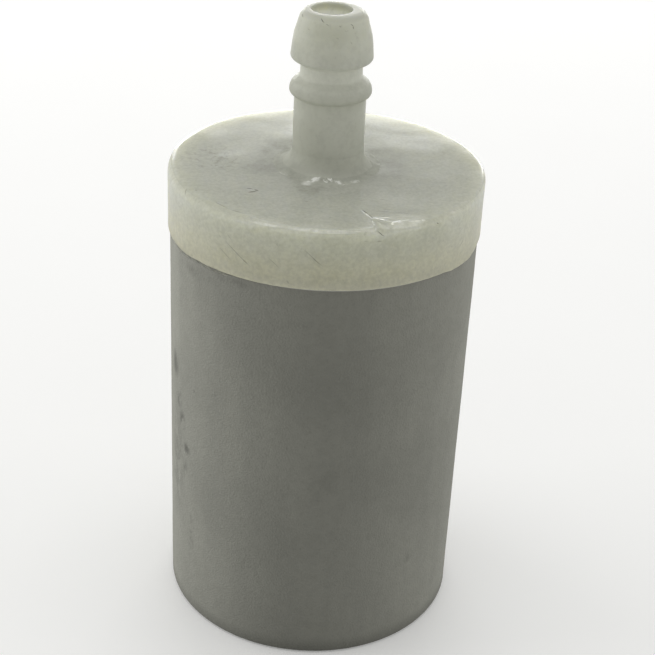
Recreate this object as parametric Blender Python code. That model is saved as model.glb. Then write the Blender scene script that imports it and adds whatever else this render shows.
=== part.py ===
"""Porous pneumatic muffler with a hose barb, modelled as its separate pieces.

The origin is the centre of the lower face and +Z runs along the axis towards the barb.
"""

import math

import bmesh
import bpy
from mathutils import Matrix

# ---- driving dimensions, in metres -------------------------------------------------------
CAP_RADIUS = 0.0140
CAP_TOP = 0.0438
SKIRT_BOTTOM = 0.0383
OVERALL_HEIGHT = 0.0577
SLEEVE_RADIUS = 0.01383
SLEEVE_BORE_RADIUS = 0.0098
STEM_RADIUS = 0.00314
BARB_RADIUS = 0.00357
BARB_EDGE_HEIGHT = 0.0540
BEAD_HEIGHT = 0.0508
FLOW_BORE_RADIUS = 0.00175

# ---- fits and walls ----------------------------------------------------------------------
SEAT_GAP = 0.0002
SLIDE_GAP = 0.0003
FILM_THICKNESS = 0.0003
CAP_PLATE_THICKNESS = 0.0030
CAP_RIM_FILLET = 0.0006
SKIRT_WALL = 0.0020
SPIGOT_WALL = 0.0018
SPIGOT_DEPTH = 0.0043
BOND_POCKET_RADIUS = 0.0065
BOND_POCKET_DEPTH = 0.0003
SMALL_CHAMFER = 0.0003
SLEEVE_EDGE_FILLET = 0.00045

BARB_TIP_FLAT_RADIUS = 0.0021
BARB_TIP_FILLET = 0.0009
BARB_CHEEK_RADIUS = 0.00333
BARB_CHEEK_HEIGHT = 0.0557
BARB_EDGE_FILLET = 0.0003
BARB_UNDERCUT = 0.0011
WAIST_RADIUS = 0.0027
BEAD_FILLET = 0.0008
BEAD_HALF_HEIGHT = 0.0010
BEAD_BLEND = 0.0012
SHANK_RADIUS = 0.00245
SHANK_BOTTOM = 0.0350
WELD_BEAD_RADIUS = 0.0063
WELD_BEAD_RISE = 0.0021
WELD_BEAD_LIP = 0.0001

END_DISC_THICKNESS = 0.0035
END_DISC_RADIUS = 0.0108
END_FILM_THICKNESS = 0.0005
FELT_CORE_GAP = 0.0003
CORE_WALL = 0.0011

CORE_HOLE_RADIUS = 0.0007
CORE_HOLE_ROWS = 6
CORE_HOLES_PER_ROW = 4
CORE_HOLE_PITCH = 0.0045
CORE_HOLE_SEGMENTS = 8

ROUND_SEGMENTS = 48
ARC_STEPS = 4
SHARP_ANGLE = math.radians(32.0)
WELD_DISTANCE = 0.000001

# ---- places worked out from the dimensions above -----------------------------------------
CAP_UNDERSIDE = CAP_TOP - CAP_PLATE_THICKNESS
POCKET_FLOOR = CAP_TOP - BOND_POCKET_DEPTH
SKIRT_INNER_RADIUS = CAP_RADIUS - SKIRT_WALL
SPIGOT_RADIUS = SLEEVE_BORE_RADIUS - SEAT_GAP
SPIGOT_BOTTOM = CAP_UNDERSIDE - SPIGOT_DEPTH
CAP_HOLE_RADIUS = SHANK_RADIUS + SLIDE_GAP
FILM_TOP = SKIRT_BOTTOM - SEAT_GAP
FILM_BOTTOM = FILM_TOP - FILM_THICKNESS
SLEEVE_SHOULDER = FILM_BOTTOM - SEAT_GAP
SLEEVE_NECK_RADIUS = SKIRT_INNER_RADIUS - SEAT_GAP
SLEEVE_TOP = CAP_UNDERSIDE - SLIDE_GAP
END_FILM_BOTTOM = END_DISC_THICKNESS + SEAT_GAP
END_FILM_TOP = END_FILM_BOTTOM + END_FILM_THICKNESS
COUNTERBORE_TOP = END_FILM_TOP + SEAT_GAP
COUNTERBORE_RADIUS = END_DISC_RADIUS + SEAT_GAP
CORE_INNER_RADIUS = SHANK_RADIUS + SLIDE_GAP
CORE_RADIUS = CORE_INNER_RADIUS + CORE_WALL
CORE_TOP = CAP_UNDERSIDE - SLIDE_GAP
LINER_BOTTOM = END_DISC_THICKNESS + SEAT_GAP


# ---- helpers -----------------------------------------------------------------------------
def clear_scene():
    """Remove whatever the file holds, so that the script can be run again."""
    for old in list(bpy.data.objects):
        bpy.data.objects.remove(old, do_unlink=True)


def plastic(name, colour, roughness, transmission=0.0):
    """A plain plastic with no metal in it."""
    material = bpy.data.materials.new(name)
    material.use_nodes = True
    shader = material.node_tree.nodes["Principled BSDF"]
    shader.inputs["Base Color"].default_value = (*colour, 1.0)
    shader.inputs["Roughness"].default_value = roughness
    shader.inputs["Metallic"].default_value = 0.0
    shader.inputs["Transmission Weight"].default_value = transmission
    return material


def arc(centre_r, centre_z, radius_r, radius_z, start, end):
    """Points (r, z) on an elliptical arc; angles in degrees, 0 outwards and 90 upwards."""
    points = []
    for step in range(ARC_STEPS + 1):
        angle = math.radians(start + (end - start) * step / ARC_STEPS)
        r = centre_r + radius_r * math.cos(angle)
        z = centre_z + radius_z * math.sin(angle)
        points.append((r, z))
    return points


def corner(r, z, fillet, start, end):
    """The rounded outer corner of a turned piece: upper if the arc starts at 90, else lower."""
    centre_z = z - fillet if start > 0.0 else z + fillet
    return arc(r - fillet, centre_z, fillet, fillet, start, end)


def turned(name, outline, material):
    """Spin an (r, z) outline round the Z axis into one solid.

    The outline is a closed loop, unless it starts and ends on the axis.
    """
    shape = bmesh.new()
    points = [shape.verts.new((r, 0.0, z)) for r, z in outline]
    for point, following in zip(points, points[1:]):
        shape.edges.new((point, following))
    if outline[0][0] > 0.0:
        shape.edges.new((points[-1], points[0]))
    bmesh.ops.spin(
        shape,
        geom=shape.verts[:] + shape.edges[:],
        cent=(0.0, 0.0, 0.0),
        axis=(0.0, 0.0, 1.0),
        angle=2.0 * math.pi,
        steps=ROUND_SEGMENTS,
        use_merge=True,
    )
    bmesh.ops.remove_doubles(shape, verts=shape.verts, dist=WELD_DISTANCE)
    bmesh.ops.recalc_face_normals(shape, faces=shape.faces)
    mesh = bpy.data.meshes.new(name)
    shape.to_mesh(mesh)
    shape.free()
    return finish_piece(name, mesh, material)


def finish_piece(name, mesh, material):
    """Link a mesh as a smooth-shaded piece with its sharp edges kept."""
    mesh.materials.append(material)
    mesh.shade_smooth()
    mesh.set_sharp_from_angle(angle=SHARP_ANGLE)
    piece = bpy.data.objects.new(name, mesh)
    bpy.context.scene.collection.objects.link(piece)
    return piece


# ---- pieces ------------------------------------------------------------------------------
def make_hose_barb(material):
    """Barb, waist, rounded bead and stem, on a thinner shank that goes down through the cap."""
    tip_centre = OVERALL_HEIGHT - BARB_TIP_FILLET
    edge_centre = BARB_RADIUS - BARB_EDGE_FILLET
    bead_centre = BARB_RADIUS - BEAD_FILLET
    outline = [
        (FLOW_BORE_RADIUS, OVERALL_HEIGHT),
        (BARB_TIP_FLAT_RADIUS, OVERALL_HEIGHT),
        *arc(BARB_TIP_FLAT_RADIUS, tip_centre, BARB_TIP_FILLET, BARB_TIP_FILLET, 75.0, 15.0),
        (BARB_CHEEK_RADIUS, BARB_CHEEK_HEIGHT),
        *arc(edge_centre, BARB_EDGE_HEIGHT, BARB_EDGE_FILLET, BARB_EDGE_FILLET, 15.0, -60.0),
        (WAIST_RADIUS, BARB_EDGE_HEIGHT - BARB_UNDERCUT),
        (WAIST_RADIUS, BEAD_HEIGHT + BEAD_BLEND),
        *arc(bead_centre, BEAD_HEIGHT, BEAD_FILLET, BEAD_HALF_HEIGHT, 75.0, -60.0),
        (STEM_RADIUS, BEAD_HEIGHT - BEAD_BLEND),
        (STEM_RADIUS, POCKET_FLOOR + SEAT_GAP),
        (SHANK_RADIUS, POCKET_FLOOR + SEAT_GAP),
        (SHANK_RADIUS, SHANK_BOTTOM + SMALL_CHAMFER),
        (SHANK_RADIUS - SMALL_CHAMFER, SHANK_BOTTOM),
        (FLOW_BORE_RADIUS, SHANK_BOTTOM),
    ]
    return turned("hose_barb", outline, material)


def make_stem_weld_bead(material):
    """Ring of weld bead with a hollow flank, in the corner between stem and plate."""
    inner = STEM_RADIUS + SEAT_GAP
    foot = POCKET_FLOOR + SEAT_GAP
    lip = CAP_TOP + WELD_BEAD_LIP
    width = WELD_BEAD_RADIUS - inner
    flank = arc(WELD_BEAD_RADIUS, lip + WELD_BEAD_RISE, width, WELD_BEAD_RISE, 180.0, 270.0)
    outline = [*flank, (WELD_BEAD_RADIUS, foot), (inner, foot)]
    return turned("stem_weld_bead", outline, material)


def make_end_cap(material):
    """Round plate with an outer skirt and an inner spigot that grip the sleeve's neck."""
    outline = [
        (BOND_POCKET_RADIUS, CAP_TOP),
        *corner(CAP_RADIUS, CAP_TOP, CAP_RIM_FILLET, 90.0, 0.0),
        (CAP_RADIUS, SKIRT_BOTTOM),
        (SKIRT_INNER_RADIUS, SKIRT_BOTTOM),
        (SKIRT_INNER_RADIUS, CAP_UNDERSIDE),
        (SPIGOT_RADIUS, CAP_UNDERSIDE),
        (SPIGOT_RADIUS, SPIGOT_BOTTOM + SMALL_CHAMFER),
        (SPIGOT_RADIUS - SMALL_CHAMFER, SPIGOT_BOTTOM),
        (SPIGOT_RADIUS - SPIGOT_WALL, SPIGOT_BOTTOM),
        (SPIGOT_RADIUS - SPIGOT_WALL, CAP_UNDERSIDE),
        (CAP_HOLE_RADIUS, CAP_UNDERSIDE),
        (CAP_HOLE_RADIUS, POCKET_FLOOR),
        (BOND_POCKET_RADIUS, POCKET_FLOOR),
    ]
    return turned("end_cap", outline, material)


def make_porous_sleeve(material):
    """Thick sintered tube with a neck for the cap's groove and a counterbore for the end disc."""
    outline = [
        (SLEEVE_NECK_RADIUS - SMALL_CHAMFER, SLEEVE_TOP),
        (SLEEVE_NECK_RADIUS, SLEEVE_TOP - SMALL_CHAMFER),
        (SLEEVE_NECK_RADIUS, SLEEVE_SHOULDER),
        (SLEEVE_RADIUS, SLEEVE_SHOULDER),
        *corner(SLEEVE_RADIUS, 0.0, SLEEVE_EDGE_FILLET, 0.0, -90.0),
        (COUNTERBORE_RADIUS, 0.0),
        (COUNTERBORE_RADIUS, COUNTERBORE_TOP),
        (SLEEVE_BORE_RADIUS, COUNTERBORE_TOP),
        (SLEEVE_BORE_RADIUS, SLEEVE_TOP),
    ]
    return turned("porous_sleeve", outline, material)


def make_porous_end_disc(material):
    """Sintered disc that closes the sleeve flush with its lower edge."""
    outline = [
        (0.0, END_DISC_THICKNESS),
        (END_DISC_RADIUS - SMALL_CHAMFER, END_DISC_THICKNESS),
        (END_DISC_RADIUS, END_DISC_THICKNESS - SMALL_CHAMFER),
        (END_DISC_RADIUS, 0.0),
        (0.0, 0.0),
    ]
    return turned("porous_end_disc", outline, material)


def make_ring(name, inner, outer, bottom, top, material):
    """Plain ring or tube of rectangular section."""
    return turned(name, [(inner, top), (outer, top), (outer, bottom), (inner, bottom)], material)


def make_core_hole_cutter():
    """Radial pins at the places of the core's holes; alternate rows are turned half a pitch."""
    shape = bmesh.new()
    lowest = (LINER_BOTTOM + SHANK_BOTTOM - CORE_HOLE_PITCH * (CORE_HOLE_ROWS - 1)) / 2.0
    for row in range(CORE_HOLE_ROWS):
        for hole in range(CORE_HOLES_PER_ROW):
            turn = 2.0 * math.pi * (hole + 0.5 * (row % 2)) / CORE_HOLES_PER_ROW
            height = Matrix.Translation((0.0, 0.0, lowest + row * CORE_HOLE_PITCH))
            outwards = Matrix.Rotation(turn, 4, "Z") @ Matrix.Translation((CORE_RADIUS, 0.0, 0.0))
            lie_down = Matrix.Rotation(math.pi / 2.0, 4, "Y")
            bmesh.ops.create_cone(
                shape,
                cap_ends=True,
                segments=CORE_HOLE_SEGMENTS,
                radius1=CORE_HOLE_RADIUS,
                radius2=CORE_HOLE_RADIUS,
                depth=4.0 * CORE_WALL,
                matrix=height @ outwards @ lie_down,
            )
    mesh = bpy.data.meshes.new("core_hole_cutter")
    shape.to_mesh(mesh)
    shape.free()
    cutter = bpy.data.objects.new("core_hole_cutter", mesh)
    cutter.hide_render = True
    cutter.display_type = "WIRE"
    bpy.context.scene.collection.objects.link(cutter)
    return cutter


def make_perforated_core(material):
    """Tube on the barb's shank, with rows of radial holes below the shank's end."""
    core = make_ring(
        "perforated_core",
        CORE_INNER_RADIUS,
        CORE_RADIUS,
        LINER_BOTTOM,
        CORE_TOP,
        material,
    )
    holes = core.modifiers.new("radial_holes", "BOOLEAN")
    holes.operation = "DIFFERENCE"
    holes.solver = "EXACT"
    holes.object = make_core_hole_cutter()
    return core


def build():
    """Make every piece and hang all of them on one empty at the origin."""
    clear_scene()
    cap_plastic = plastic("cap_plastic", (0.62, 0.62, 0.51), 0.32, transmission=0.15)
    weld_plastic = plastic("weld_plastic", (0.66, 0.66, 0.56), 0.22, transmission=0.15)
    porous_plastic = plastic("porous_plastic", (0.36, 0.36, 0.32), 0.95)
    core_plastic = plastic("core_plastic", (0.70, 0.70, 0.66), 0.50)
    felt = plastic("felt", (0.72, 0.70, 0.64), 1.0)
    pieces = [
        make_hose_barb(cap_plastic),
        make_stem_weld_bead(weld_plastic),
        make_end_cap(cap_plastic),
        make_ring(
            "cap_bond_ring",
            SKIRT_INNER_RADIUS,
            SLEEVE_RADIUS,
            FILM_BOTTOM,
            FILM_TOP,
            weld_plastic,
        ),
        make_porous_sleeve(porous_plastic),
        make_porous_end_disc(porous_plastic),
        make_ring(
            "end_bond_ring",
            SLEEVE_BORE_RADIUS + SEAT_GAP,
            END_DISC_RADIUS - SMALL_CHAMFER,
            END_FILM_BOTTOM,
            END_FILM_TOP,
            weld_plastic,
        ),
        make_perforated_core(core_plastic),
        make_ring(
            "felt_liner",
            CORE_RADIUS + FELT_CORE_GAP,
            SLEEVE_BORE_RADIUS - SLIDE_GAP,
            LINER_BOTTOM,
            SPIGOT_BOTTOM - SLIDE_GAP,
            felt,
        ),
    ]
    muffler = bpy.data.objects.new("pneumatic_muffler", None)
    bpy.context.scene.collection.objects.link(muffler)
    for piece in pieces:
        piece.parent = muffler


build()
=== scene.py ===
"""Looks of the porous pneumatic muffler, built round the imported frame.

Everything is in metres. The origin is the centre of the lower face and +Z runs along the axis.
Bearings are degrees round the axis: 0 is +X, 90 is +Y, and -90 faces the camera.
"""

import math

import bmesh
import bpy
from mathutils import Matrix, Vector, noise


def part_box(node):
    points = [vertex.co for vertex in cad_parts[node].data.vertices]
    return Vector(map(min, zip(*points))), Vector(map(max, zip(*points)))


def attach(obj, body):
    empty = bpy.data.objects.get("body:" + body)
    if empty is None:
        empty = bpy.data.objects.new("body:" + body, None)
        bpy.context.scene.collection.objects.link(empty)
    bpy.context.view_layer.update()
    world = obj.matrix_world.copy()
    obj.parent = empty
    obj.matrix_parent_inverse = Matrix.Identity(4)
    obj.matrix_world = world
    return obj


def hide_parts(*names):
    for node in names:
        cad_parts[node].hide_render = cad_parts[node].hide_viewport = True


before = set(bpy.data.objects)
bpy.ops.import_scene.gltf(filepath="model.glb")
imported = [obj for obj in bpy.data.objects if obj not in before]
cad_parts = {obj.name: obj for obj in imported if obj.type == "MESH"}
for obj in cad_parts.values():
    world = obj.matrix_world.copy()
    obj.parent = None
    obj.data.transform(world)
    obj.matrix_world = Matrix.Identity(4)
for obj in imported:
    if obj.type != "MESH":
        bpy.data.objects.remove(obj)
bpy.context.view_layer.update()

MM = 0.001

# ---- places read from the frame ----------------------------------------------------------
cap_low, cap_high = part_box("end_cap")
barb_low, barb_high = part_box("hose_barb")
film_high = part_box("cap_bond_ring")[1]
sleeve_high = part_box("porous_sleeve")[1]
disc_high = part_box("porous_end_disc")[1]

CAP_RADIUS = cap_high.x
CAP_TOP = cap_high.z
SPIGOT_BOTTOM = cap_low.z
TIP = barb_high.z
SHANK_BOTTOM = barb_low.z
BARB_RADIUS = barb_high.x
SKIRT_BOTTOM = film_high.z
SLEEVE_RADIUS = sleeve_high.x
SLEEVE_TOP = sleeve_high.z
DISC_RADIUS = disc_high.x
DISC_THICKNESS = disc_high.z

# ---- measures of the visible shapes ------------------------------------------------------
STEM_RADIUS = 3.14 * MM
SHANK_RADIUS = 2.45 * MM
BORE_RADIUS = 1.75 * MM
BORE_SHIFT = (-0.20 * MM, 0.10 * MM)  # how far the bore's mouth is off the axis
FLARE_REACH = 3.90 * MM  # the stem's flared foot ends and the weld begins
MELT_REACH = 4.55 * MM  # the plate is hidden under the weld inside this radius
FOOT_REACH = 4.65 * MM  # the plate is flat outside this radius
FLARE_TOP = 46.4 * MM
EDGE_CENTRE = 53.80 * MM  # middle of the barb's rounded edge
BEAD_CENTRE = 50.75 * MM
SKIRT_THICKNESS = 2.0 * MM
PLATE_THICKNESS = 3.0 * MM
HOLE_RADIUS = 2.75 * MM  # the hole for the shank, through the cap
SPIGOT_OUTER = 9.6 * MM
SPIGOT_INNER = 7.8 * MM
NECK_RADIUS = 11.8 * MM
SLEEVE_BORE = 9.8 * MM
SEAM_HEIGHT = 0.30 * MM  # from the sleeve's shoulder up to the skirt


# ---- mesh helpers ------------------------------------------------------------------------
def smoothstep(low, high, value):
    """0 below low, 1 above high, and a smooth rise between."""
    t = min(max((value - low) / (high - low), 0.0), 1.0)
    return t * t * (3.0 - 2.0 * t)


def round_curve(stops, bearing):
    """A value that runs smoothly round the axis through (bearing, value) stops."""
    stops = sorted((b % 360.0, v) for b, v in stops)
    bearing %= 360.0
    before = stops[-1]
    for after in stops:
        if bearing <= after[0]:
            break
        before = after
    else:
        after = stops[0]
    span = (after[0] - before[0]) % 360.0 or 360.0
    share = smoothstep(0.0, 1.0, ((bearing - before[0]) % 360.0) / span)
    return before[1] + (after[1] - before[1]) * share


def spot(bearing, radius):
    """The (x, y) at a bearing and a distance from the axis."""
    angle = math.radians(bearing)
    return radius * math.cos(angle), radius * math.sin(angle)


def ripple(x, y, z, scale, seed=0.0):
    """Smooth noise of about -1 to 1 whose lumps are roughly scale metres across."""
    return noise.noise(Vector((x / scale + seed, y / scale - seed, z / scale + 2.0 * seed)))


def arc(centre_r, centre_z, radius_r, radius_z, start, end, steps):
    """Points (r, z) on an elliptical arc; angles in degrees, 0 outwards and 90 upwards."""
    points = []
    for step in range(steps + 1):
        angle = math.radians(start + (end - start) * step / steps)
        r, z = centre_r + radius_r * math.cos(angle), centre_z + radius_z * math.sin(angle)
        points.append((r, z))
    return points


def refined(outline, longest, closed=True):
    """The same outline with its long runs divided, so that no edge is longer than longest."""
    points = []
    ends = zip(outline, outline[1:] + outline[:1]) if closed else zip(outline, outline[1:])
    for (r0, z0), (r1, z1) in ends:
        pieces = max(1, math.ceil(math.hypot(r1 - r0, z1 - z0) / longest))
        for piece in range(pieces):
            t = piece / pieces
            points.append((r0 + (r1 - r0) * t, z0 + (z1 - z0) * t))
    if not closed:
        points.append(outline[-1])
    return points


def bearings_round(coarse, *fine):
    """Bearings for a full turn: one every coarse degrees, closer in each (start, end, step)."""
    bearings = []
    bearing = -180.0
    while bearing < 180.0 - 1e-6:
        bearings.append(bearing)
        steps = [step for start, end, step in fine if start <= bearing < end]
        bearing += min(steps) if steps else coarse
    return bearings


def turned(name, bearings, section, sharp=35.0):
    """A closed solid through the closed (r, z) outline that section(bearing) gives.

    A point on the axis is one vertex, shared by the whole turn.
    """
    mesh = bmesh.new()
    rings = []
    for bearing in bearings:
        ring = []
        for index, (r, z) in enumerate(section(bearing)):
            if r == 0.0 and rings:
                ring.append(rings[0][index])
            else:
                ring.append(mesh.verts.new((*spot(bearing, r), z)))
        rings.append(ring)
    count = len(rings[0])
    for ring, following in zip(rings, rings[1:] + rings[:1]):
        for index in range(count):
            after = (index + 1) % count
            corners = [ring[index], ring[after], following[after], following[index]]
            corners = [v for k, v in enumerate(corners) if v not in corners[:k]]
            if len(corners) > 2:
                mesh.faces.new(corners)
    bmesh.ops.recalc_face_normals(mesh, faces=mesh.faces)
    return finished(name, mesh, sharp)


def lathe(name, outline, bearings, shape=None, sharp=35.0):
    """A closed solid turned from one closed outline; shape(bearing, r, z) may change its points."""

    def section(bearing):
        if shape is None:
            return outline
        return [(r, z) if r == 0.0 else shape(bearing, r, z) for r, z in outline]

    return turned(name, bearings, section, sharp)


def finished(name, mesh, sharp=35.0):
    """Turn a bmesh into a linked, smooth-shaded object."""
    data = bpy.data.meshes.new(name)
    mesh.to_mesh(data)
    mesh.free()
    data.shade_smooth()
    data.set_sharp_from_angle(angle=math.radians(sharp))
    piece = bpy.data.objects.new(name, data)
    bpy.context.scene.collection.objects.link(piece)
    return piece


def place(piece, material, slot, *nodes):
    """Give a piece its material and its body, and hide the CAD nodes it stands for. The slot is not
    used.
    """
    piece.data.materials.clear()
    piece.data.materials.append(material)
    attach(piece, "root")
    if nodes:
        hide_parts(*nodes)
    return piece


# ---- material helpers --------------------------------------------------------------------
class Graph:
    """A material's node tree, with short calls for the nodes that these materials use."""

    def __init__(self, name):
        self.material = bpy.data.materials.new(name)
        self.material.use_nodes = True
        self.tree = self.material.node_tree
        self.shader = self.tree.nodes["Principled BSDF"]
        self.where = self.node("TexCoord").outputs["Object"]
        self.x, self.y, self.z = self.node("SeparateXYZ", Vector=self.where).outputs

    def put(self, target, value):
        """Link a socket, or set a plain value."""
        if isinstance(value, bpy.types.NodeSocket):
            self.tree.links.new(value, target)
        else:
            target.default_value = value

    def fill(self, node, values):
        """Set or link a node's inputs; an underscore in a name stands for a space."""
        for name, value in values.items():
            self.put(node.inputs[name.replace("_", " ")], value)

    def surface(self, **values):
        """Set or link the shader's inputs."""
        self.fill(self.shader, values)

    def node(self, kind, **values):
        """A new shader node with some of its inputs set or linked."""
        node = self.tree.nodes.new("ShaderNode" + kind)
        self.fill(node, values)
        return node

    def math(self, operation, a, b=0.0, c=0.0):
        """One arithmetic node."""
        node = self.node("Math")
        node.operation = operation
        for socket, value in zip(node.inputs, (a, b, c)):
            self.put(socket, value)
        return node.outputs["Value"]

    def times(self, a, b):
        """The product of two values."""
        return self.math("MULTIPLY", a, b)

    def most(self, values):
        """The largest of several values."""
        result = values[0]
        for value in values[1:]:
            result = self.math("MAXIMUM", result, value)
        return result

    def stretched(self, x, y, z):
        """Object coordinates scaled along each axis, for grain with a direction."""
        return self.node("Mapping", Vector=self.where, Scale=(x, y, z)).outputs["Vector"]

    def unrolled(self, radius):
        """Coordinates on an unrolled cylinder: along the bearing, then up."""
        along = self.times(self.math("ARCTAN2", self.y, self.x), radius)
        return self.node("CombineXYZ", X=along, Y=self.z).outputs["Vector"]

    def reach(self):
        """Distance from the axis."""
        square = self.times(self.y, self.y)
        return self.math("SQRT", self.math("MULTIPLY_ADD", self.x, self.x, square))

    def soil(self):
        """Faint blotches and fine mottling that run on from one piece to the next, with painted
        shade round the stem's foot.

        In a ring round the stem's foot the blotches grow stronger and a plain painted shade is
        added, more behind the stem than in front; both stand for the stem's dark reflection and
        shade on the plate.
        """
        reach = self.reach()
        # painted shade: the blotches darken more in this ring round the stem's foot
        ring = self.band(reach, 3.5, 4.6, 5.6, 8.4)
        blotch = self.remap(self.noise(340.0, 5.0, 0.65), 0.42, 0.62)
        mottle = self.remap(self.noise(1500.0, 4.0, 0.7), 0.45, 0.62)
        strength = self.math("MULTIPLY_ADD", ring, 0.20, 0.07)
        # painted shade on the foot's flanks, stronger behind the stem
        flank = self.band(reach, 3.2, 3.6, 5.6, 8.0)
        behind = self.remap(self.y, -4.5 * MM, -2.0 * MM, 0.02, 0.13)
        plain = self.math("MULTIPLY_ADD", mottle, 0.08, self.times(blotch, strength))
        return self.math("MULTIPLY_ADD", flank, behind, plain)

    def noise(self, scale, detail=2.0, roughness=0.5, where=None, distortion=0.0):
        """Noise of 0 to 1 at scale lumps to the metre."""
        node = self.node(
            "TexNoise",
            Vector=self.where if where is None else where,
            Scale=scale,
            Detail=detail,
            Roughness=roughness,
            Distortion=distortion,
        )
        return node.outputs["Fac"]

    def cells(self, scale):
        """Distance to the middle of the nearest cell, for beads and grains."""
        return self.node("TexVoronoi", Vector=self.where, Scale=scale).outputs["Distance"]

    def remap(self, value, low, high, to_low=0.0, to_high=1.0):
        """Smoothly map low..high to to_low..to_high, held at the ends."""
        node = self.node(
            "MapRange",
            Value=value,
            From_Min=low,
            From_Max=high,
            To_Min=to_low,
            To_Max=to_high,
        )
        node.interpolation_type = "SMOOTHSTEP"
        return node.outputs["Result"]

    def band(self, value, low, full, fading, gone):
        """1 from full to fading, falling smoothly to 0 at low and at gone, which are in mm."""
        rise = self.remap(value, low * MM, full * MM)
        return self.times(rise, self.remap(value, fading * MM, gone * MM, 1.0, 0.0))

    def patch(self, plane, centre, half_length, half_width, turn=0.0, solid=0.3):
        """1 inside an ellipse on a plane, fading to 0 at its edge."""
        node = self.node(
            "Mapping",
            Vector=plane,
            Location=(*centre, 0.0),
            Rotation=(0.0, 0.0, turn),
            Scale=(half_length, half_width, 1.0),
        )
        node.vector_type = "TEXTURE"
        length = self.node("VectorMath", Vector=node.outputs["Vector"])
        length.operation = "LENGTH"
        return self.remap(length.outputs["Value"], solid, 1.0, 1.0, 0.0)

    def scratches(self, plane, marks, across=1.0):
        """The strongest of several tapering marks (u0, v0, u1, v1, half width, strength), in mm.

        across turns the first coordinate of each end into millimetres.
        """
        layers = []
        for u0, v0, u1, v1, half_width, strength in marks:
            start, end = Vector((u0 * across, v0)), Vector((u1 * across, v1))
            run = end - start
            centre = (start + end) * 0.5 * MM
            half_length = run.length * 0.5 * MM
            mask = self.patch(plane, centre, half_length, half_width * MM, math.atan2(run.y, run.x))
            layers.append(self.times(mask, strength))
        return self.most(layers)

    def mix(self, factor, a, b):
        """Blend two colours."""
        node = self.node("Mix")
        node.data_type = "RGBA"
        self.put(node.inputs["Factor"], factor)
        colours = [socket for socket in node.inputs if socket.type == "RGBA"]
        for socket, colour in zip(colours, (a, b)):
            self.put(socket, colour if isinstance(colour, bpy.types.NodeSocket) else (*colour, 1.0))
        return [socket for socket in node.outputs if socket.type == "RGBA"][0]

    def bump(self, *layers):
        """Stack bumps of (height, strength, distance) into one normal."""
        normal = None
        for height, strength, distance in layers:
            node = self.node("Bump", Height=height, Strength=strength, Distance=distance)
            if normal is not None:
                self.put(node.inputs["Normal"], normal)
            normal = node.outputs["Normal"]
        self.put(self.shader.inputs["Normal"], normal)


# ---- materials ---------------------------------------------------------------------------
CREAM = (0.515, 0.525, 0.452)
CREAM_WARM = (0.555, 0.54, 0.40)
CREAM_PALE = (0.545, 0.555, 0.488)
CREAM_DEEP = (0.20, 0.20, 0.17)
WHITE_WEAR_AND_HIGHLIGHT = (0.92, 0.93, 0.88)
CAP_DEPTH = 6.0 * MM
PLASTIC_IOR = 1.5

# Marks as (u0, v0, u1, v1, half width, strength). On the plate u and v are x and y in mm.
PLATE_MARKS = (
    (-6.75, -6.30, -6.00, -6.42, 0.16, 1.0),
    (-6.05, -6.40, -5.55, -6.74, 0.15, 1.0),
    (-6.55, -7.16, -5.65, -6.74, 0.16, 1.0),
    (3.05, -9.50, 3.62, -10.30, 0.080, 1.0),
    (3.50, -10.15, 4.15, -11.30, 0.070, 1.0),
    (4.10, -9.75, 5.60, -9.62, 0.075, 0.40),
    (5.60, -9.62, 6.90, -9.80, 0.070, 0.30),
    (4.70, -10.45, 5.60, -10.25, 0.070, 0.45),
    (5.60, -10.25, 6.30, -10.35, 0.070, 0.35),
    (5.30, -10.75, 6.60, -10.70, 0.060, 0.35),
    (-9.30, -9.10, -7.70, -10.80, 0.070, 0.40),
    (-7.90, -10.65, -6.30, -11.55, 0.070, 0.50),
    (-6.45, -11.45, -4.10, -12.85, 0.060, 0.40),
    (-4.30, -12.75, -3.00, -13.20, 0.050, 0.30),
    (4.20, -10.90, 5.25, -10.85, 0.060, 0.7),
    (4.35, -7.10, 5.55, -7.45, 0.070, 0.55),
    (2.60, -7.90, 3.60, -7.30, 0.060, 0.30),
    (4.60, -9.20, 5.90, -9.28, 0.070, 0.45),
    (4.20, -9.75, 4.75, -9.35, 0.060, 0.35),
    (6.50, -10.00, 6.95, -9.80, 0.070, 0.40),
    (7.30, -5.60, 7.90, -6.20, 0.060, 0.35),
    (8.20, -7.80, 8.90, -7.60, 0.060, 0.30),
    (-1.75, -8.46, -1.20, -8.38, 0.060, 0.55),
    (-10.95, -7.15, -10.70, -7.30, 0.120, 0.45),
)

# On the skirt u is the bearing in degrees and v the height in mm.
SKIRT_MARKS = (
    (-126.6, 41.6, -113.0, 39.4, 0.045, 0.75),
    (-118.6, 40.3, -114.8, 39.7, 0.050, 1.0),
    (-128.4, 40.7, -121.0, 39.5, 0.050, 0.55),
    (-124.5, 42.1, -121.5, 41.4, 0.050, 0.35),
    (-109.0, 41.0, -103.0, 39.9, 0.045, 0.50),
    (-97.8, 42.4, -88.0, 40.3, 0.040, 0.65),
    (-93.5, 41.4, -90.0, 40.7, 0.045, 0.60),
    (-71.6, 43.55, -69.0, 43.10, 0.050, 1.0),
    (-72.0, 42.76, -69.6, 42.74, 0.050, 0.75),
    (-76.6, 42.86, -74.6, 42.82, 0.050, 0.40),
    (-48.6, 43.42, -47.4, 43.20, 0.070, 1.0),
    (-31.2, 40.75, -34.5, 40.00, 0.060, 0.60),
    (-150.2, 43.75, -147.0, 43.35, 0.070, 0.60),
    (-101.5, 39.15, -100.4, 38.70, 0.110, 0.40),
)
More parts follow.
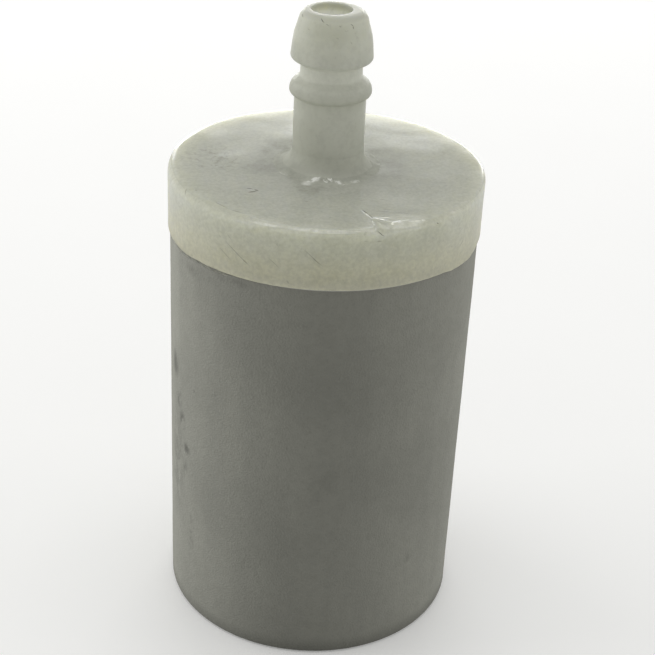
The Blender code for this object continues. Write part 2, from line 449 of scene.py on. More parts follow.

# Stress-whitening marks and painted highlights on the plate, with painted glints of the weld's
# crumbs, and painted highlights on the rim, in the same units as the marks above.
PLATE_WHITE_AND_GLINTS = (
    (-2.20, -4.85, -1.10, -4.40, 0.62, 0.55),
    (4.20, -11.20, 5.35, -11.10, 0.10, 0.8),
    (5.30, -11.95, 6.60, -11.45, 0.12, 0.65),
    (5.42, -11.85, 5.75, -12.05, 0.17, 0.9),
    (6.50, -11.50, 8.30, -10.90, 0.20, 0.45),
    (7.90, -11.00, 8.35, -10.80, 0.15, 0.6),
    (4.25, -11.50, 4.80, -12.30, 0.12, 0.5),
    (4.60, -12.20, 8.60, -11.30, 0.55, 0.22),
    (10.30, -9.10, 10.95, -8.50, 0.12, 0.22),
)
RIM_HIGHLIGHTS = (
    (-118.0, 43.62, -101.0, 43.72, 0.110, 0.30),
    (-104.0, 43.68, -78.0, 43.70, 0.130, 0.32),
    (-104.0, 43.70, -78.0, 43.76, 0.045, 0.30),
    (-101.0, 43.55, -74.0, 43.60, 0.045, 0.30),
    (-92.0, 43.63, -70.0, 43.70, 0.040, 0.30),
    (-80.0, 43.62, -54.0, 43.62, 0.130, 0.26),
    (-66.0, 43.55, -52.0, 43.62, 0.090, 0.30),
    (-62.0, 43.68, -50.0, 43.66, 0.060, 0.35),
)


def cap_material():
    """Translucent natural polymer: cloudy, warmer low on the skirt, scratched and scuffed, with
    painted shade on the plate's top and round the stem's foot, and painted highlights along the rim
    and on the gouge's burrs.
    """
    g = Graph("cap_polymer")
    cloud = g.remap(g.noise(140.0, 2.0), 0.25, 0.75)
    base = g.mix(cloud, CREAM, CREAM_PALE)
    low = g.remap(g.z, SKIRT_BOTTOM, CAP_TOP - 0.8 * MM, 1.0, 0.0)
    base = g.mix(low, base, CREAM_WARM)
    thick = g.remap(g.z, SKIRT_BOTTOM + 0.15 * MM, SKIRT_BOTTOM + 1.2 * MM)
    thick = g.times(thick, g.remap(g.reach(), 5.7 * MM, 8.2 * MM))
    grimy = g.remap(g.z, SKIRT_BOTTOM - 0.1 * MM, SKIRT_BOTTOM + 0.45 * MM, 1.0, 0.0)
    grimy = g.times(grimy, g.remap(g.noise(900.0, 4.0, 0.65), 0.35, 0.60, 0.25, 1.0))
    smooth = g.remap(g.noise(420.0, 4.0), 0.3, 0.7, 0.08, 0.12)
    dulled = g.remap(g.z, CAP_TOP - 0.22 * MM, CAP_TOP - 0.10 * MM, 1.0, 0.0)
    worn = g.most((
        g.remap(g.z, CAP_TOP - 0.06 * MM, CAP_TOP - 0.03 * MM, 1.0, 0.0),
        g.patch(g.where, (6.2 * MM, -11.3 * MM), 3.6 * MM, 1.5 * MM, 0.15, solid=0.6),
    ))
    dulled = g.most((dulled, g.times(worn, 0.30)))
    # painted shade: the plate's top is painted darker, since it faces the overhead light
    above = g.remap(g.z, CAP_TOP - 0.45 * MM, CAP_TOP - 0.15 * MM)
    base = g.mix(g.times(above, 0.14), base, CREAM_DEEP)
    grain = g.remap(g.noise(3200.0, 3.0, 0.6), 0.35, 0.65)
    base = g.mix(g.times(grain, 0.16), base, CREAM_DEEP)
    # painted shade: soil() darkens a ring round the stem's foot
    base = g.mix(g.soil(), base, CREAM_DEEP)
    unrolled = g.unrolled(CAP_RADIUS)
    degree = CAP_RADIUS / MM * math.pi / 180.0
    on_top = g.remap(g.z, CAP_TOP - 0.75 * MM, CAP_TOP - 0.45 * MM)
    marks = g.most((
        g.times(g.scratches(g.where, PLATE_MARKS), on_top),
        g.scratches(unrolled, SKIRT_MARKS, degree),
    ))
    # painted highlights: the rim's marks and part of the plate's are painted near white
    whitening_and_highlights = g.most((
        g.times(g.scratches(g.where, PLATE_WHITE_AND_GLINTS), on_top),
        g.scratches(unrolled, RIM_HIGHLIGHTS, degree),
    ))
    frayed = g.remap(g.noise(1800.0, 3.0, 0.6), 0.35, 0.60, 0.35, 1.0)
    base = g.mix(g.times(whitening_and_highlights, frayed), base, WHITE_WEAR_AND_HIGHLIGHT)
    mottle = g.remap(g.noise(1900.0, 4.0, 0.65, distortion=0.5), 0.46, 0.66)
    scuffed = g.patch(g.where, (-10.2 * MM, 0.4 * MM), 5.0 * MM, 4.2 * MM, -0.35, solid=0.3)
    scuffed = g.times(g.times(scuffed, mottle), on_top)
    shaved = g.patch(g.where, (5.3 * MM, -9.4 * MM), 4.6 * MM, 3.2 * MM, 0.1, solid=0.3)
    tool = g.noise(1.0, 3.0, 0.55, where=g.stretched(500.0, 2600.0, 500.0), distortion=0.4)
    speck = g.remap(g.noise(2400.0, 3.0, 0.6), 0.62, 0.74)
    g.surface(
        Base_Color=g.mix(g.most((
            g.times(marks, 0.95),
            g.times(scuffed, 0.40),
            g.times(speck, 0.22),
            g.times(grimy, 0.30),
        )), base, CREAM_DEEP),
        Roughness=g.math("MULTIPLY_ADD", dulled, 0.38, smooth),
        IOR=PLASTIC_IOR,
        Subsurface_Weight=thick,
        Subsurface_Radius=(1.0, 0.96, 0.76),
        Subsurface_Scale=CAP_DEPTH,
        Subsurface_Anisotropy=0.8,
        Specular_IOR_Level=0.18,
    )
    g.bump(
        (g.noise(300.0, 3.0), 0.25, 0.06 * MM),
        (g.noise(2600.0, 2.0), 0.15, 0.02 * MM),
        (g.times(tool, shaved), 0.10, 0.10 * MM),
        (g.times(marks, -1.0), 0.1, 0.03 * MM),
    )
    return g.material


# Marks on the barb's tip, as bearing in degrees and height in mm.
TIP_MARKS = (
    (-116.0, 57.62, -104.0, 57.22, 0.060, 0.9),
    (-104.0, 57.24, -96.0, 57.10, 0.050, 0.6),
    (-62.0, 57.25, -55.0, 57.05, 0.050, 0.8),
    (-57.0, 57.15, -56.0, 56.75, 0.060, 1.0),
    (-165.0, 57.45, -150.0, 57.20, 0.050, 0.9),
    (-82.0, 57.10, -76.0, 57.05, 0.080, 0.5),
    (-86.0, 56.20, -80.0, 56.10, 0.090, 0.3),
    (-64.0, 55.90, -60.0, 55.60, 0.080, 0.3),
    (-135.0, 56.60, -128.0, 56.50, 0.080, 0.35),
    (10.0, 57.55, -20.0, 57.20, 0.045, 0.5),
)
BARB_DEPTH = 4.0 * MM
BARB_CREAM = (0.555, 0.565, 0.482)
BARB_PALE = (0.59, 0.60, 0.522)
BARB_NECK_LIT = (0.65, 0.66, 0.575)
BARB_FOOT = (0.535, 0.545, 0.47)
BORE_PAINTED_LIGHT = (0.90, 0.91, 0.83)


def barb_material():
    """The same polymer as the cap, a little paler where it is thin: painted light round the waist
    and in the bore's mouth, and painted shade on the upper barb and its tip.
    """
    g = Graph("barb_polymer")
    cloud = g.remap(g.noise(260.0, 3.0), 0.35, 0.65)
    degree = BARB_RADIUS / MM * math.pi / 180.0
    marks = g.scratches(g.unrolled(BARB_RADIUS), TIP_MARKS, degree)
    mottle = g.remap(g.noise(1700.0, 4.0, 0.6), 0.54, 0.70)
    # painted light: the bore's mouth is painted pale so that it reads lit, not as a dark hole
    bore = g.remap(g.reach(), BORE_RADIUS + 0.25 * MM, BORE_RADIUS + 0.45 * MM, 1.0, 0.0)
    bore = g.times(bore, g.remap(g.z, TIP - 0.9 * MM, TIP - 0.3 * MM, 1.0, 0.0))
    # painted light: the waist is painted paler against the shade that falls there
    neck = g.band(g.z, 51.0, 51.9, 53.0, 53.8)
    streak = g.remap(g.noise(1.0, 3.0, where=g.stretched(900.0, 900.0, 260.0)), 0.50, 0.68)
    # painted shade: the upper barb is painted a little darker, and carries more specks
    upper = g.remap(g.z, 55.0 * MM, 56.5 * MM)
    foot = g.remap(g.z, CAP_TOP + 0.3 * MM, CAP_TOP + 1.3 * MM, 1.0, 0.0)
    speck = g.times(g.math("MULTIPLY_ADD", upper, 0.7, 0.3), mottle)
    satin = g.remap(g.noise(600.0, 4.0), 0.3, 0.7, 0.32, 0.48)
    melted = g.remap(g.z, CAP_TOP + 0.3 * MM, CAP_TOP + 1.2 * MM, 1.0, 0.0)
    base = g.mix(foot, g.mix(cloud, BARB_CREAM, BARB_PALE), BARB_FOOT)
    base = g.mix(neck, base, BARB_NECK_LIT)
    base = g.mix(bore, base, BORE_PAINTED_LIGHT)
    g.surface(
        Base_Color=g.mix(g.most((
            g.times(marks, 0.95),
            g.times(speck, 0.22),
            g.times(streak, 0.08),
            g.times(upper, 0.08),
            # painted shade on the tip's top, which faces the overhead light
            g.remap(g.z, TIP - 0.7 * MM, TIP - 0.1 * MM, 0.0, 0.24),
            # painted shade: soil() darkens the flared foot in its ring round the stem
            g.soil(),
        )), base, CREAM_DEEP),
        Roughness=g.math("MULTIPLY_ADD", melted, 0.28, satin),
        IOR=PLASTIC_IOR,
        Subsurface_Weight=g.remap(g.z, 53.0 * MM, 56.5 * MM, 0.0, 0.45),
        Subsurface_Radius=(1.0, 0.97, 0.80),
        Subsurface_Scale=BARB_DEPTH,
        Subsurface_Anisotropy=0.8,
        Specular_IOR_Level=0.12,
    )
    g.bump(
        (g.noise(500.0, 3.0), 0.3, 0.05 * MM),
        (g.noise(3000.0, 2.0), 0.15, 0.02 * MM),
        (g.times(marks, -1.0), 0.5, 0.05 * MM),
    )
    return g.material


WELD_BODY = (0.478, 0.488, 0.42)
WELD_PALE = (0.508, 0.518, 0.448)
CRUMB_GLINT = (0.97, 0.98, 0.93)
# Painted glints on the weld's crumbs, as (x0, y0, x1, y1, half width, strength) in mm.
WELD_GLINTS = (
    (-2.20, -4.85, -1.10, -4.40, 0.62, 0.62),
    (-1.90, -4.60, -0.95, -4.15, 0.40, 0.80),
    (-1.55, -4.25, -0.35, -3.90, 0.30, 0.95),
    (-0.30, -3.95, 0.20, -4.35, 0.17, 1.0),
    (0.00, -3.85, 0.65, -4.20, 0.15, 1.0),
    (0.65, -4.05, 1.45, -4.45, 0.24, 0.8),
    (1.30, -4.35, 1.90, -4.75, 0.13, 0.9),
    (1.90, -4.00, 3.30, -3.40, 0.36, 0.40),
    (-4.50, -3.30, -3.30, -2.50, 0.80, 0.22),
    (4.30, 0.30, 5.00, 0.90, 0.35, 0.20),
)


def weld_material():
    """Re-melted polymer: dull, the tone of the stem's foot, with painted glints on the crumbs in
    front and painted shade round the foot.
    """
    g = Graph("weld_polymer")
    cloud = g.remap(g.noise(700.0, 3.0), 0.35, 0.65)
    body = g.mix(cloud, WELD_BODY, WELD_PALE)
    grain = g.remap(g.noise(2800.0, 3.0, 0.6), 0.42, 0.68)
    body = g.mix(g.times(grain, 0.10), body, CREAM_DEEP)
    # painted shade: soil() darkens the weld in its ring round the stem's foot
    body = g.mix(g.soil(), body, CREAM_DEEP)
    broken = g.remap(g.noise(3300.0, 3.0, 0.65), 0.38, 0.54)
    # painted glints: the crumbs are painted near white and made glossier
    crumbs = g.times(g.scratches(g.where, WELD_GLINTS), broken)
    dull = g.remap(g.noise(420.0, 4.0), 0.3, 0.7, 0.62, 0.76)
    g.surface(
        Base_Color=g.mix(g.times(crumbs, 0.90), body, CRUMB_GLINT),
        Roughness=g.math("MULTIPLY_ADD", crumbs, -0.38, dull),
        IOR=PLASTIC_IOR,
        Specular_IOR_Level=0.12,
    )
    g.bump(
        (g.noise(900.0, 3.0), 0.25, 0.04 * MM),
        (g.noise(2600.0, 2.0), 0.15, 0.02 * MM),
    )
    return g.material


FILM = (0.25, 0.25, 0.21)
FILM_SOILED = (0.16, 0.16, 0.14)


def film_material():
    """The thin bonding film: a darker, dull polymer, soiled in blotches."""
    g = Graph("film_polymer")
    soil = g.remap(g.noise(1400.0, 4.0, 0.6), 0.42, 0.62)
    g.surface(
        Base_Color=g.mix(g.times(soil, 0.85), FILM, FILM_SOILED),
        Roughness=g.remap(g.noise(900.0, 3.0), 0.3, 0.7, 0.55, 0.80),
        IOR=PLASTIC_IOR,
        Subsurface_Weight=1.0,
        Subsurface_Radius=(1.0, 0.97, 0.85),
        Subsurface_Scale=0.2 * MM,
    )
    g.bump((g.noise(1800.0, 3.0), 0.4, 0.05 * MM))
    return g.material


SINTER = (0.178, 0.179, 0.156)
SINTER_PALE = (0.199, 0.200, 0.174)
SINTER_STREAK = (0.166, 0.167, 0.147)
SINTER_PIT = (0.118, 0.118, 0.102)
SINTER_SMUDGE_AND_SHADE = (0.085, 0.085, 0.074)
SINTER_CLEAN = (0.80, 0.80, 0.75)
# Smudges on the sintered wall, and painted shade just under the skirt's edge: bearing, height, half
# width and half height in mm, strength.
SMUDGES_AND_SHADE = (
    (-158.8, 25.7, 1.30, 2.0, 1.0),
    (-155.0, 22.6, 1.10, 1.6, 1.0),
    (-151.5, 20.6, 1.00, 1.5, 1.0),
    (-147.6, 18.0, 0.95, 0.9, 1.0),
    (-149.0, 15.6, 0.80, 1.7, 0.7),
    (-144.8, 9.8, 0.80, 1.7, 0.75),
    (-144.5, 8.0, 0.90, 1.1, 0.65),
    (-141.9, 24.9, 0.25, 0.30, 0.6),
    (-129.4, 25.9, 0.20, 0.22, 0.4),
    (-157.0, 16.0, 2.6, 9.0, 0.45),
    (-84.0, 18.5, 2.6, 3.5, 0.20),
    # the next two rows darken the wall just under the skirt's edge: painted shade there, with
    # smudges
    (-140.0, 36.9, 3.4, 0.9, 0.36),
    (-122.0, 37.7, 3.0, 0.6, 0.45),
    (-48.0, 9.0, 0.5, 1.0, 0.30),
)


def porous_material():
    """Sintered bead: matte, streaked and smudged outside, with painted shade under the skirt's edge,
    clean and white up inside the cap.
    """
    g = Graph("sintered_polymer")
    tone = g.remap(g.noise(90.0, 3.0), 0.35, 0.65)
    streak = g.remap(g.noise(1.0, 3.0, where=g.stretched(420.0, 420.0, 60.0)), 0.3, 0.7)
    base = g.mix(tone, SINTER, SINTER_PALE)
    base = g.mix(g.times(streak, 0.35), base, SINTER_STREAK)
    grain = g.cells(5200.0)
    pits = g.remap(g.noise(3800.0, 3.0), 0.55, 0.75)
    mottle = g.remap(g.noise(1300.0, 4.0, 0.65), 0.40, 0.62)
    base = g.mix(g.times(mottle, 0.12), base, SINTER_PIT)
    base = g.mix(g.times(pits, 0.25), base, SINTER_PIT)
    unrolled = g.unrolled(SLEEVE_RADIUS)
    layers = []
    for bearing, height, half_width, half_height, strength in SMUDGES_AND_SHADE:
        centre = (math.radians(bearing) * SLEEVE_RADIUS, height * MM)
        mask = g.patch(unrolled, centre, half_width * MM, half_height * MM, solid=0.1)
        layers.append(g.times(mask, strength))
    broken = g.remap(g.noise(1.0, 4.0, 0.6, where=g.stretched(1000.0, 1000.0, 560.0)), 0.38, 0.58)
    smudge_and_shade = g.times(g.most(layers), broken)
    foot = g.remap(g.z, 0.3 * MM, 1.9 * MM, 0.50, 0.0)
    base = g.mix(g.most((g.times(smudge_and_shade, 0.90), foot)), base, SINTER_SMUDGE_AND_SHADE)
    hidden = g.remap(g.z, SKIRT_BOTTOM + 0.15 * MM, SKIRT_BOTTOM + 0.35 * MM)
    g.surface(
        Base_Color=g.mix(hidden, base, SINTER_CLEAN),
        Roughness=g.remap(g.noise(900.0, 2.0), 0.3, 0.7, 0.85, 1.0),
        IOR=1.45,
        Specular_IOR_Level=0.25,
    )
    g.bump(
        (g.noise(420.0, 3.0), 0.10, 0.08 * MM),
        (grain, 0.55, 0.05 * MM),
    )
    return g.material


CORE_PALE = (0.70, 0.70, 0.66)
CORE_LINE = (0.62, 0.62, 0.58)
FELT_DEEP = (0.60, 0.58, 0.52)
FELT_PALE = (0.80, 0.78, 0.72)
PAPER = (0.88, 0.88, 0.875)
PAPER_PALE = (0.90, 0.90, 0.895)


def core_material():
    """Plain extruded tube with faint draw lines."""
    g = Graph("core_polymer")
    lines = g.noise(1.0, 3.0, where=g.stretched(2200.0, 2200.0, 60.0))
    g.surface(
        Base_Color=g.mix(g.remap(lines, 0.3, 0.7), CORE_PALE, CORE_LINE),
        Roughness=g.remap(g.noise(700.0, 3.0), 0.3, 0.7, 0.40, 0.55),
        IOR=PLASTIC_IOR,
    )
    g.bump((lines, 0.3, 0.03 * MM))
    return g.material


def felt_material():
    """Pressed fibre felt: long, tangled, matte fibres."""
    g = Graph("pressed_felt")
    fibres = g.noise(1400.0, 5.0, 0.65, distortion=2.5)
    g.surface(
        Base_Color=g.mix(g.remap(fibres, 0.3, 0.7), FELT_DEEP, FELT_PALE),
        Roughness=1.0,
        Sheen_Weight=0.3,
        Specular_IOR_Level=0.2,
    )
    g.bump((fibres, 0.8, 0.15 * MM), (g.noise(300.0, 2.0), 0.4, 0.2 * MM))
    return g.material


def floor_material():
    """Pale matte sheet, faintly lit from below like a light table."""
    g = Graph("pale_paper")
    g.surface(
        Base_Color=g.mix(g.noise(40.0, 2.0), PAPER, PAPER_PALE),
        Roughness=0.9,
        Specular_IOR_Level=0.2,
        Emission_Color=(1.0, 1.0, 1.0, 1.0),
        Emission_Strength=0.15,
    )
    g.bump((g.noise(900.0, 3.0), 0.1, 0.02 * MM))
    return g.material


# ---- end cap -----------------------------------------------------------------------------
FRONT_FINE = (-82.0, -44.0, 0.3)
SIDE_FINE = (-170.0, -20.0, 0.6)
PLATE_STEPS = 36
EDGE_STEPS = 26
RIM_STEPS = 14
SKIRT_STEPS = 24
# How far the trimmed rim reaches inwards and downwards, in mm, by bearing.
RIM_RUN = (
    (-165, 1.05), (-146, 1.00), (-135, 0.97), (-126, 0.80), (-119, 0.84), (-112, 0.62), (-108, 0.54),
    (-103, 0.46), (-94, 0.41), (-85, 0.38), (-77, 0.36), (-73, 0.50), (-70.5, 2.00), (-67, 1.35),
    (-64.5, 0.92), (-58, 0.86), (-53, 0.50), (-48, 0.45), (-40, 0.55), (-20, 0.60), (20, 0.32),
    (60, 0.20), (100, 0.20), (135, 0.25), (165, 0.50),
)
RIM_DROP = (
    (-165, 0.90), (-146, 0.85), (-135, 0.82), (-126, 0.78), (-119, 0.42), (-112, 0.36), (-103, 0.28),
    (-94, 0.34), (-85, 0.42), (-77, 0.34), (-69, 0.52), (-64, 0.42), (-58, 0.40), (-52, 0.50),
    (-47, 0.52), (-36, 0.62), (-20, 0.60), (20, 0.35), (60, 0.20), (100, 0.20), (135, 0.25),
    (165, 0.45),
)
# How square the rim's curve is, by bearing: 1 is a quarter ellipse.
RIM_FLATNESS = (
    (-160, 0.90), (-121, 1.15), (-104, 1.0), (-88, 1.1), (-70, 1.5), (-50, 1.4), (-38, 1.0),
    (-10, 0.8), (60, 1.0), (150, 0.9),
)
# The skirt's lower edge, in mm, by bearing: hand-trimmed, lower at the left.
SKIRT_EDGE = (
    (-165, 38.00), (-148, 38.02), (-137, 38.22), (-128, 38.26), (-118, 38.30), (-90, 38.38),
    (-60, 38.36), (-43, 38.30), (-37, 38.12), (-25, 38.05), (-21, 38.22), (-14, 38.42),
    (0, 38.40), (90, 38.30),
)


def make_cap():
    """The cap: plate, hand-trimmed rim, skirt, and under it the groove and the spigot."""
    underside = CAP_TOP - PLATE_THICKNESS
    skirt_inner = CAP_RADIUS - SKIRT_THICKNESS
    flat = 11.4 * MM
    plate = [("hidden", r) for r in (HOLE_RADIUS, MELT_REACH - 0.25 * MM, MELT_REACH - 0.10 * MM)]
    for step in range(PLATE_STEPS):
        share = (step / PLATE_STEPS) ** 1.2
        plate.append(("plate", MELT_REACH + (flat - MELT_REACH) * share))
    edge = [("edge", step / EDGE_STEPS) for step in range(EDGE_STEPS)]
    rim = [("rim", step / RIM_STEPS) for step in range(RIM_STEPS + 1)]
    skirt = [("skirt", step / SKIRT_STEPS) for step in range(1, SKIRT_STEPS)]
    foot = [("foot", angle) for angle in (0.0, -22.5, -45.0, -67.5, -90.0)]
    inside = [
        ("fixed", (skirt_inner, SKIRT_BOTTOM)),
        ("fixed", (skirt_inner, underside)),
        ("fixed", (SPIGOT_OUTER, underside)),
        ("fixed", (SPIGOT_OUTER, SPIGOT_BOTTOM + 0.3 * MM)),
        ("fixed", (SPIGOT_OUTER - 0.3 * MM, SPIGOT_BOTTOM)),
        ("fixed", (SPIGOT_INNER, SPIGOT_BOTTOM)),
        ("fixed", (SPIGOT_INNER, underside)),
        ("fixed", (HOLE_RADIUS, underside)),
    ]

    def section(bearing):
        """The (r, z) outline at one bearing."""
        run, drop, power = rim_size(bearing)
        bottom = skirt_bottom(bearing)
        fillet = CAP_RADIUS - SLEEVE_RADIUS
        points = []
        for kind, value in plate + edge + rim + skirt + foot + inside:
            if kind == "hidden":
                r, z = value, CAP_TOP - 0.15 * MM
            elif kind == "plate":
                r, z = value, plate_height(bearing, value)
            elif kind == "edge":
                r = flat + (CAP_RADIUS - run - flat) * value
                z = plate_height(bearing, r)
            elif kind == "rim":
                r, z = rim_point(bearing, value, run, drop, power)
            elif kind == "skirt":
                z = CAP_TOP - drop + (bottom + fillet - CAP_TOP + drop) * value
                r = skirt_radius(bearing, z)
            elif kind == "foot":
                angle = math.radians(value)
                r = skirt_radius(bearing, bottom) - fillet * (1.0 - math.cos(angle))
                z = bottom + fillet * (1.0 + math.sin(angle))
            else:
                r, z = value
            points.append((r, z))
        return points

    return turned("end_cap_moulding", bearings_round(1.0, SIDE_FINE, FRONT_FINE), section)


def around(bearing, radius, scale, seed):
    """Smooth noise that runs round the axis."""
    return ripple(*spot(bearing, radius), 0.0, scale, seed)


def skirt_bottom(bearing):
    """Height of the skirt's hand-trimmed lower edge."""
    ragged = 0.025 * MM * around(bearing, CAP_RADIUS, 0.7 * MM, 4.0)
    return MM * round_curve(SKIRT_EDGE, bearing) + ragged


def squeezed(bearing):
    """1 where the bonding film was squeezed out at the left, 0 elsewhere."""
    return smoothstep(-178.0, -152.0, bearing) - smoothstep(-142.0, -114.0, bearing)


def rim_size(bearing):
    """How far the rim reaches inwards and downwards at one bearing, and how flat it is."""
    shake = 1.0 + 0.08 * around(bearing, CAP_RADIUS, 1.6 * MM, 1.0)
    shake += 0.06 * around(bearing, CAP_RADIUS, 0.5 * MM, 2.0)
    return (
        MM * round_curve(RIM_RUN, bearing) * shake,
        MM * round_curve(RIM_DROP, bearing) * shake,
        round_curve(RIM_FLATNESS, bearing),
    )


def rim_point(bearing, share, run, drop, power):
    """A point of the rim: share 0 is at the plate, 1 at the skirt."""
    turn = 0.5 * math.pi * share
    r = CAP_RADIUS - run * (1.0 - math.sin(turn) ** power)
    z = CAP_TOP - drop * (1.0 - math.cos(turn) ** power)
    ridged = smoothstep(-118.0, -106.0, bearing) - smoothstep(-84.0, -76.0, bearing)
    uneven = 0.6 + 0.4 * around(bearing, CAP_RADIUS, 0.8 * MM, 6.0)
    ridge = math.sin(2.0 * math.pi * share) ** 2 * uneven
    out = 0.045 * MM * ridged * ridge
    inside = skirt_radius(bearing, z) - CAP_RADIUS
    return r + 0.7 * out + inside * share, z + 0.7 * out


def skirt_radius(bearing, z):
    """The turned skirt's radius, with the slight waviness of a hand-finished moulding."""
    wave = ripple(*spot(bearing, CAP_RADIUS), z, 6.0 * MM, 5.0)
    return CAP_RADIUS - 0.04 * MM * (0.5 + 0.5 * wave)


# Burrs raised and scores cut at the gouged edge, as (x0, y0, x1, y1, half width, height) in mm.
BURRS = (
    (4.05, -11.15, 4.95, -11.45, 0.12, 0.045),
    (4.20, -10.95, 5.30, -10.95, 0.09, 0.022),
    (5.25, -11.95, 6.90, -11.30, 0.13, 0.040),
    (5.40, -11.90, 5.70, -12.10, 0.17, 0.060),
    (6.90, -11.20, 8.30, -10.85, 0.12, 0.028),
    (4.30, -11.60, 4.75, -12.20, 0.12, 0.025),
    (7.95, -10.95, 8.25, -10.80, 0.14, 0.040),
)
SCORES = (
    (3.00, -9.45, 4.05, -11.15, 0.09, 0.022),
    (4.50, -9.20, 6.00, -9.30, 0.12, 0.006),
    (4.30, -10.80, 5.30, -10.75, 0.10, 0.018),
)


def plate_height(bearing, r):
    """Height of the plate's top: faintly uneven, scored and burred near the front right edge."""
    x, y = spot(bearing, r)
    z = CAP_TOP + 0.02 * MM * ripple(x, y, 0.0, 5.0 * MM, 3.0) + foot_height(bearing, r)
    point = Vector((x, y)) / MM
    for marks, sign in ((BURRS, 1.0), (SCORES, -1.0)):
        for x0, y0, x1, y1, half_width, height in marks:
            start, run = Vector((x0, y0)), Vector((x1 - x0, y1 - y0))
            share = min(max((point - start).dot(run) / run.length_squared, 0.0), 1.0)
            away = (point - start - run * share).length / half_width
            if away < 2.5:
                taper = math.sin(math.pi * (0.08 + 0.84 * share))
                z += sign * MM * height * taper * math.exp(-away * away)
    return z


# ---- hose barb ---------------------------------------------------------------------------
def make_barb():
    """Barb, waist, rounded bead, stem, flared foot and shank, with the bore through them."""
    edge_r = BARB_RADIUS - 0.40 * MM
    bead_r = 2.78 * MM
    flare = FLARE_REACH - STEM_RADIUS
    outline = [
        (BORE_RADIUS, TIP - 1.6 * MM),
        (BORE_RADIUS, TIP - 0.25 * MM),
        *arc(BORE_RADIUS + 0.07 * MM, TIP - 0.07 * MM, 0.07 * MM, 0.07 * MM, 180.0, 90.0, 4),
        *arc(2.11 * MM, TIP - 0.86 * MM, 0.86 * MM, 0.86 * MM, 88.0, 14.0, 10),
        (3.17 * MM, 56.24 * MM),
        (3.33 * MM, 55.7 * MM),
        (3.46 * MM, 54.9 * MM),
        *arc(edge_r, EDGE_CENTRE, 0.40 * MM, 0.40 * MM, 12.0, -66.0, 10),
        *arc(3.0 * MM, 52.85 * MM, 0.3 * MM, 0.36 * MM, 130.0, 180.0, 5),
        *arc(2.95 * MM, 52.1 * MM, 0.25 * MM, 0.25 * MM, 180.0, 235.0, 4),
        *arc(bead_r, BEAD_CENTRE, 0.8 * MM, 1.00 * MM, 68.0, 0.0, 8),
        *arc(bead_r, BEAD_CENTRE, 0.8 * MM, 0.56 * MM, -8.0, -62.0, 7),
        *arc(STEM_RADIUS + 0.12 * MM, 50.10 * MM, 0.12 * MM, 0.20 * MM, 120.0, 180.0, 4),
        (STEM_RADIUS, FLARE_TOP),
        *((STEM_RADIUS + flare * (step / 24.0) ** 1.6, CAP_TOP) for step in range(25)),
        (FLARE_REACH, CAP_TOP - 0.1 * MM),
        (SHANK_RADIUS, CAP_TOP - 0.1 * MM),
        (SHANK_RADIUS, SHANK_BOTTOM + 0.3 * MM),
        (2.15 * MM, SHANK_BOTTOM),
        (BORE_RADIUS, SHANK_BOTTOM),
    ]

    def shape(bearing, r, z):
        """The foot follows the flare; the rest wavers a little; the bore's mouth is off centre."""
        angle = math.radians(bearing)
        x, y = r * math.cos(angle), r * math.sin(angle)
        if z == CAP_TOP:
            share = (r - STEM_RADIUS) / flare
            r = STEM_RADIUS + (weld_inside(bearing) + 0.03 * MM - STEM_RADIUS) * share
            z = CAP_TOP + foot_height(bearing, r)
        elif z == CAP_TOP - 0.1 * MM and r == FLARE_REACH:
            r = weld_inside(bearing) + 0.03 * MM
        elif r > 2.5 * MM:
            r += 0.035 * MM * ripple(x, y, z, 2.2 * MM, 7.0) - 0.02 * MM
        else:
            shift = BORE_SHIFT[0] * math.cos(angle) + BORE_SHIFT[1] * math.sin(angle)
            lip = smoothstep(TIP - 1.4 * MM, TIP - 0.3 * MM, z)
            r += shift * lip * smoothstep(2.5 * MM, 1.9 * MM, r)
        return r, z

    outline = refined(outline, 0.25 * MM)
    return lathe("hose_barb_moulding", outline, bearings_round(1.8), shape, sharp=50.0)


def foot_height(bearing, r):
    """Height of the stem's flared foot above the plate, with the lumps that the weld left."""
    if r > FOOT_REACH:
        return 0.0
    away = r - STEM_RADIUS
    spread = 1.0 + 0.10 * around(bearing, 4.0 * MM, 2.4 * MM, 11.0)
    height = 1.00 * MM * math.exp(-away / (0.56 * MM * spread))
    height += 0.70 * MM * math.exp(-away / (0.10 * MM))
    x, y = spot(bearing, r / MM)
    for lump, distance, size, rise in WELD_LUMPS:
        lump_x, lump_y = spot(lump, distance)
        near = ((x - lump_x) ** 2 + (y - lump_y) ** 2) / size ** 2
        if near < 6.0:
            height += rise * MM * math.exp(-near)
    return height * smoothstep(FOOT_REACH, FOOT_REACH - 0.80 * MM, r)


def weld_inside(bearing):
    """The weld bead's uneven inner edge on the flared foot."""
    return FLARE_REACH + 0.14 * MM * around(bearing, 4.0 * MM, 0.9 * MM, 13.0)


# ---- weld bead ---------------------------------------------------------------------------
# Lumps and crumbs left by the weld: bearing, distance from the axis, half size, rise, all in mm.
WELD_LUMPS = (
    (-146.0, 4.50, 0.85, 0.11),
    (-110.0, 4.25, 0.34, 0.08),
    (-103.0, 4.20, 0.30, 0.18),
    (-97.0, 4.05, 0.20, 0.17),
    (-89.5, 4.00, 0.09, 0.17),
    (-87.0, 4.20, 0.10, 0.22),
    (-83.5, 4.05, 0.08, 0.20),
    (-80.5, 4.25, 0.10, 0.20),
    (-75.0, 4.35, 0.18, 0.22),
    (-69.0, 4.45, 0.09, 0.20),
    (-52.0, 4.40, 0.30, 0.05),
    (-44.0, 4.30, 0.26, 0.06),
    (8.0, 4.60, 0.45, 0.09),
    (36.0, 4.60, 0.40, -0.03),
    (168.0, 4.50, 0.60, 0.06),
)


